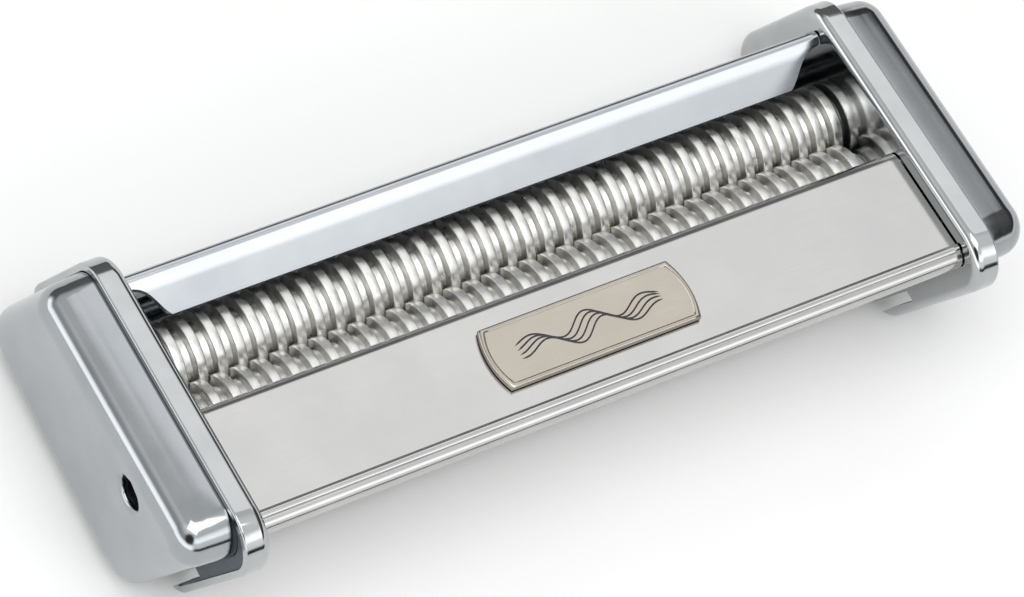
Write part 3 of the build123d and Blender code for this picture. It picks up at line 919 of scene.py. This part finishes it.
@dataclass
class Body(Assembly):
    """Side plates, trays, covers, combs, tie rods and screws, all on the frame."""

    parts: tuple[tuple[str, str, Finish], ...] = (
        ("left_side_plate", "bright_steel", PLATE_CHROME),
        ("left_tie_screws", "screw_steel", SCREW_STEEL),
        ("left_cap_screws", "screw_steel", SCREW_STEEL),
        ("right_side_plate", "bright_steel", PLATE_CHROME),
        ("right_tie_screws", "screw_steel", SCREW_STEEL),
        ("right_cap_screws", "screw_steel", SCREW_STEEL),
        ("left_gear_tray", "tray_plastic", TRAY_NYLON),
        ("right_bearing_tray", "tray_plastic", TRAY_NYLON),
        ("front_cover", "satin_chrome_sheet", SATIN_SHEET),
        ("rear_cover", "bright_chrome_sheet", BRIGHT_SHEET),
        ("upper_comb", "comb_steel", COMB_STEEL),
        ("lower_comb", "comb_steel", COMB_STEEL),
        ("rear_tie_rod", "rod_steel", ROD_STEEL),
        ("front_tie_rod", "rod_steel", ROD_STEEL),
        ("base_tie_rod", "rod_steel", ROD_STEEL),
    )

    def build(self) -> None:
        """Dress the carried-over parts."""
        for node, slot, finish in self.parts:
            self.carry_over(node, "frame", slot, finish)


@dataclass
class Badge(Assembly):
    """The nickel plate on the front cover, with a motif of wavy strands and a rubber pad.

    Its own axes are x, across (up the working face) and out (square to the face).

    Attributes:
        bow: How far each short end bulges.
        pad: The rubber pad's thickness, on which the plate lies.
        border: The rim's width, and recess the depth of the field inside it.
        rim_step: The width of the step from the rim down to the field, and ease its soft edges.
        field_inset: How far the field is carried in before it closes to its middle.
        seat: The y and z of the badge's middle on the cover, and slope the face's in degrees.
        strand_lag: The phase from one strand to the next, and strand_step their distance.
        strand_swell: The share of the reach that a strand keeps at its ends.
        strand_thin: The share of the width that a strand keeps where it is thinnest.
        strand_taper: How fast a strand's width grows from its tips, and its share at the tips.
    """

    length: float = 43.2
    width: float = 13.3
    bow: float = 1.3
    pad: float = 0.3
    thickness: float = 1.1
    bevel: float = 0.5
    border: float = 1.0
    recess: float = 0.25
    rim_step: float = 0.22
    ease: Triple = (0.07, 0.05, 0.03)
    field_inset: float = 2.0
    end_steps: int = 25
    edge_steps: int = 34
    bevel_steps: int = 9
    seat: Pair = (-18.161, 38.732)
    slope: float = 6.3
    strand_count: int = 4
    strand_half_length: float = 15.5
    strand_reach: float = 1.9
    strand_wave: float = 12.5
    strand_lag: float = 0.5
    strand_step: float = 0.75
    strand_width: float = 0.5
    strand_relief: float = 0.05
    strand_swell: float = 0.35
    strand_thin: float = 0.6
    strand_taper: Pair = (30.0, 0.15)
    strand_points: int = 220
    section: tuple[Pair, ...] = ((-1.0, -0.6), (-0.85, 0.6), (0.0, 1.0), (0.85, 0.6), (1.0, -0.6))

    def stand(self, across: np.ndarray) -> np.ndarray:
        """Turn points of x, across and out into the part's own x, y and z.

        y is the seat's plus across times the cosine of the face's slope plus out times its sine,
        and z is the seat's less across times the sine plus out times the cosine.

        Args:
            across: Points of x, across and out.

        Returns:
            Points of x, y and z.
        """
        c, s = cos(radians(self.slope)), sin(radians(self.slope))
        x, up, out = across[..., 0], across[..., 1], across[..., 2]
        return np.stack([x, self.seat[0] + up * c + out * s, self.seat[1] - up * s + out * c], axis=-1)

    def ring(self, inset: float, out: float) -> np.ndarray:
        """Draw the badge's outline: straight long edges and bowed ends.

        Each end is an arc through the corners, of the radius that rises by the bow over the
        width: half the bow plus an eighth of the width squared over the bow.

        Args:
            inset: The inset from the outer edge.
            out: The height over the cover.

        Returns:
            One ring of points of x, across and out.
        """
        half_length, half_width = self.length / 2 - inset, self.width / 2 - inset
        corner = half_length - self.bow
        radius = self.bow / 2 + half_width**2 / (2 * self.bow)
        reach = np.arcsin(half_width / radius)
        turn = np.linspace(-reach, reach, self.end_steps)
        end_x = half_length - radius + radius * np.cos(turn)
        end_y = radius * np.sin(turn)
        run = np.linspace(corner, -corner, self.edge_steps)[1:-1]
        edge = np.full(len(run), half_width)
        x = np.concatenate([end_x, run, -end_x, -run])
        y = np.concatenate([end_y, edge, -end_y, -edge])
        return np.stack([x, y, np.full(len(x), out)], axis=-1)

    def build_plate(self) -> bpy.types.Object:
        """Build the plate: a rolled bevel, a narrow rim, a step and a flat field.

        Along the bevel the inset and the drop follow a quarter circle.

        Returns:
            The plate.
        """
        top = self.pad + self.thickness
        floor = top - self.recess
        turn = np.linspace(0, np.pi / 2, self.bevel_steps)
        rings = [self.ring(0.0, self.pad), self.ring(0.0, top - self.bevel)]
        rings += [self.ring(self.bevel * (1 - cos(t)), top - self.bevel * (1 - sin(t))) for t in turn[1:]]
        step = self.border - self.rim_step
        soft, drop, foot = self.ease
        rings += [
            self.ring(step, top),
            self.ring(step + soft, top - drop),
            self.ring(self.border - foot, floor + drop),
            self.ring(self.border, floor),
            self.ring(self.border + self.field_inset, floor),
        ]
        shell = Shell()
        shell.add_rings(self.stand(np.array(rings)))
        return shell.piece("badge_face_plate", sharp=50.0)

    def strand(self, index: int) -> np.ndarray:
        """Draw one strand of the motif as rings along its run.

        Across is a sine of x with its own phase, whose reach swells from the ends to the middle,
        and the strand's width swells where it runs downhill, as a pen stroke does. The section is
        a low half-round.

        Args:
            index: The strand's number.

        Returns:
            Rings of points.
        """
        share = np.linspace(0, 1, self.strand_points)
        x = (2 * share - 1) * self.strand_half_length
        swell = self.strand_swell + (1 - self.strand_swell) * np.sin(np.pi * share)
        phase = 2 * np.pi * x / self.strand_wave + index * self.strand_lag
        up = self.strand_reach * swell * np.sin(phase)
        up += (index - (self.strand_count - 1) / 2) * self.strand_step
        run = np.stack([np.gradient(x), np.gradient(up)], axis=-1)
        run /= np.linalg.norm(run, axis=1, keepdims=True)
        side = np.stack([-run[:, 1], run[:, 0]], axis=-1)
        downhill = 0.5 - 0.5 * run[:, 1]
        width = self.strand_width / 2 * (self.strand_thin + (1 - self.strand_thin) * downhill)
        growth, tip = self.strand_taper
        width = width * np.minimum(1.0, np.minimum(share, 1 - share) * growth + tip)
        floor = self.pad + self.thickness - self.recess
        section = np.array(self.section)
        middle = np.stack([x, up], axis=-1)[:, None, :]
        flat = middle + side[:, None, :] * (width[:, None] * section[:, 0])[..., None]
        out = floor + np.broadcast_to(section[:, 1] * self.strand_relief, flat.shape[:2])
        return self.stand(np.concatenate([flat, out[..., None]], axis=-1))

    def build(self) -> None:
        """Build and dress the badge, its strands and its pad."""
        self.carry_over("badge_pad", "frame", "pad_rubber", PAD_RUBBER)
        self.place(self.build_plate(), "frame", "badge_nickel", BADGE_NICKEL, "badge_plate")
        shell = Shell()
        for index in range(self.strand_count):
            shell.add_rings(self.strand(index))
        self.place(shell.piece("badge_strand_motif", sharp=60.0), "frame", "badge_nickel", BADGE_INK)


# ------------------------------------------------------------------------------------ studio
Stops = tuple[Pair, ...]


@dataclass(frozen=True)
class Screen:
    """A part of the surround with its own brightness by height.

    Attributes:
        direction: The way to its middle.
        window: The cosines between which it fades in.
        stops: Height and brightness pairs; a brightness is a share of the surround's gain.
    """

    direction: Triple
    window: Pair
    stops: Stops


@dataclass(frozen=True)
class Softbox:
    """A large flat lamp, facing the origin.

    Attributes:
        name: The lamp's name.
        direction: The way to it from the origin.
        distance: How far off it hangs, in metres.
        size: Its two sides in metres.
        brightness: How bright its face is.
    """

    name: str
    direction: Triple
    distance: float
    size: Pair
    brightness: float

    def build(self) -> None:
        """Hang the lamp, facing the origin; its power is pi times its area times its brightness."""
        light = bpy.data.lights.new(self.name, "AREA")
        light.shape = "RECTANGLE"
        light.size, light.size_y = self.size
        light.energy = np.pi * self.size[0] * self.size[1] * self.brightness
        lamp = bpy.data.objects.new(self.name, light)
        bpy.context.scene.collection.objects.link(lamp)
        way = Vector(self.direction).normalized()
        lamp.location = way * self.distance
        lamp.rotation_euler = way.to_track_quat("Z", "Y").to_euler()


@dataclass
class Studio:
    """Floor, surrounding light, softboxes and camera.

    Attributes:
        azimuth: The camera's bearing, and elevation and roll its other angles, in degrees.
        distance_mm: How far the camera stands off, and across_mm its shift right and up.
        lens: The focal length on a sensor of the given width, and clip the near and far limits.
        surround: Height and brightness pairs of the surround, before the screens.
        surround_gain: The brightness that a share of one stands for.
        cast: The share of red and of green in the surround's light, which makes it faintly blue.
        backdrop: What the camera itself sees beyond the floor.
    """

    floor_colour: str = "#F3F3F2"
    floor_shade: str = "#F1F1F0"
    floor_half: float = 6.0
    backdrop: str = "#F7F7F6"
    azimuth: float = -54.116
    elevation: float = 59.027
    roll: float = 29.459
    distance_mm: float = 923.265
    across_mm: Pair = (4.09, 7.379)
    lens: float = 170.394
    sensor: float = 36.0
    clip: Pair = (0.05, 50.0)
    surround_gain: float = 2.6
    cast: Pair = (0.985, 0.995)
    surround: Stops = (
        (0.0, 0.01), (0.13, 0.02), (0.2, 0.45), (0.44, 0.52),
        (0.54, 0.95), (0.68, 0.8), (0.78, 0.4), (1.0, 0.45),
    )
    screens: tuple[Screen, ...] = (
        # Dim behind, so that the rings and the covers keep their dark edges.
        Screen((0.0, 1.0, 0.0), (-0.05, 0.25), ((0.0, 0.07), (0.5, 0.08), (0.64, 0.3), (1.0, 0.35))),
        # Nearly black on the right above eye height, for the far cap's dark top.
        Screen(
            (1.0, 0.0, 0.0), (0.5, 0.61),
            ((0.0, 0.4), (0.18, 0.5), (0.28, 0.02), (0.5, 0.03), (0.75, 0.06), (1.0, 0.3)),
        ),
        # Bright and low on the left, for the light along the near cap's rolled edge.
        Screen(
            (-1.0, 0.0, 0.0), (0.3, 0.6),
            ((0.0, 0.4), (0.08, 0.95), (0.26, 0.9), (0.42, 0.2), (0.6, 0.25), (0.85, 0.6)),
        ),
        # A small black card, for the dark patch on the near cap's front corner.
        Screen((-0.602, -0.516, 0.609), (0.93, 0.975), ((0.0, 0.02), (1.0, 0.02))),
    )
    lamps: tuple[Softbox, ...] = (
        Softbox("key_softbox", (0.42, 0.5, 0.76), 1.4, (0.9, 0.62), 0.6),
        Softbox("overhead_softbox", (-0.15, -0.1, 1.0), 1.6, (1.2, 1.0), 2.4),
    )

    def build_camera(self) -> None:
        """Stand the camera off the object on a bearing and a height, then roll it about its own axis.

        Its back is the unit vector on that bearing and height; right is level and square to it, and
        up is square to both, before right and up turn by the roll.
        """
        a, e, r = radians(self.azimuth), radians(self.elevation), radians(self.roll)
        back = Vector((sin(a) * cos(e), -cos(a) * cos(e), sin(e)))
        level = Vector((cos(a), sin(a), 0.0))
        upright = back.cross(level)
        right = cos(r) * level + sin(r) * upright
        up = back.cross(right)
        data = bpy.data.cameras.new("studio_camera")
        data.lens = self.lens
        data.sensor_width = self.sensor
        data.clip_start, data.clip_end = self.clip
        camera = bpy.data.objects.new("studio_camera", data)
        bpy.context.scene.collection.objects.link(camera)
        centre = (right * self.across_mm[0] + up * self.across_mm[1] + back * self.distance_mm) * MM
        camera.matrix_world = Matrix.Translation(centre) @ Matrix((right, up, back)).transposed().to_4x4()
        bpy.context.scene.camera = camera

    def build_floor(self) -> None:
        """Lay a pale painted floor, level with the lowest point of the object."""
        mesh = bpy.data.meshes.new("studio_floor")
        square = np.array([(-1, -1, 0), (1, -1, 0), (1, 1, 0), (-1, 1, 0)]) * self.floor_half
        mesh.from_pydata(square.tolist(), [], [[0, 1, 2, 3]])
        floor = bpy.data.objects.new("studio_floor", mesh)
        bpy.context.scene.collection.objects.link(floor)
        paint = Finish(
            "matt_painted_floor", self.floor_colour, self.floor_shade, Base.PLASTIC,
            gloss=(0.75, 0.85), cloud_mm=60.0, grain_mm=(2.0, 2.0, 2.0), grain_depth_mm=0.01,
        )
        WARDROBE.dress(floor, paint)

    def band(self, tree: Tree, height: Socket, stops: Stops) -> Socket:
        """Make brightness a function of height above the horizon.

        Args:
            tree: The surround's node tree.
            height: The upward share of the direction, from 0 at the horizon to 1 overhead.
            stops: Height and brightness pairs; a brightness is a share of the surround's gain.

        Returns:
            The colour socket, very slightly blue.
        """
        ramp = add(tree, "ShaderNodeValToRGB", {0: height})
        elements = ramp.color_ramp.elements
        while len(elements) < len(stops):
            elements.new(0.5)
        for element, (place, _) in zip(elements, stops):
            element.position = place
        red, green = self.cast
        for element, (_, level) in zip(elements, stops):
            element.color = (level * red, level * green, level, 1.0)
        return ramp.outputs[0]

    def build_world(self) -> None:
        """Light the surround, dark near the horizon, which draws chrome's dark edges."""
        world = bpy.data.worlds.new("studio_surround")
        bpy.context.scene.world = world
        world.use_nodes = True
        tree = world.node_tree
        tree.nodes.clear()
        way = add(tree, "ShaderNodeTexCoord").outputs["Generated"]
        height = add(tree, "ShaderNodeSeparateXYZ", {0: way}).outputs["Z"]
        light = self.band(tree, height, self.surround)
        for screen in self.screens:
            facing = add(tree, "ShaderNodeVectorMath", {0: way, 1: screen.direction}, operation="DOT_PRODUCT")
            near, full = screen.window
            fade = {"Value": facing.outputs["Value"], "From Min": near, "From Max": full}
            share = add(tree, "ShaderNodeMapRange", fade, interpolation_type="SMOOTHSTEP")
            ends = {0: share.outputs[0], 6: light, 7: self.band(tree, height, screen.stops)}
            light = add(tree, "ShaderNodeMix", ends, data_type="RGBA").outputs[2]
        seen = add(tree, "ShaderNodeLightPath").outputs["Is Camera Ray"]
        around = add(tree, "ShaderNodeBackground", {0: light, 1: self.surround_gain})
        behind = add(tree, "ShaderNodeBackground", {0: linear(self.backdrop), 1: 1.0})
        mix = add(tree, "ShaderNodeMixShader", {0: seen, 1: around.outputs[0], 2: behind.outputs[0]})
        target = add(tree, "ShaderNodeOutputWorld")
        tree.links.new(mix.outputs[0], target.inputs[0])

    def build(self) -> None:
        """Set the whole studio up."""
        bpy.context.scene.view_settings.view_transform = "Standard"
        self.build_camera()
        self.build_floor()
        self.build_world()
        for lamp in self.lamps:
            lamp.build()


def main() -> None:
    """Build the studio and every sub-assembly in order, and report each piece."""
    logging.basicConfig(level=logging.INFO, format="%(message)s")
    Studio().build()
    for assembly in (Body(), EndCaps(), RollerPair(), DriveTrain(), Badge()):
        assembly.build()
        assembly.report()


if __name__ == "__main__":
    main()
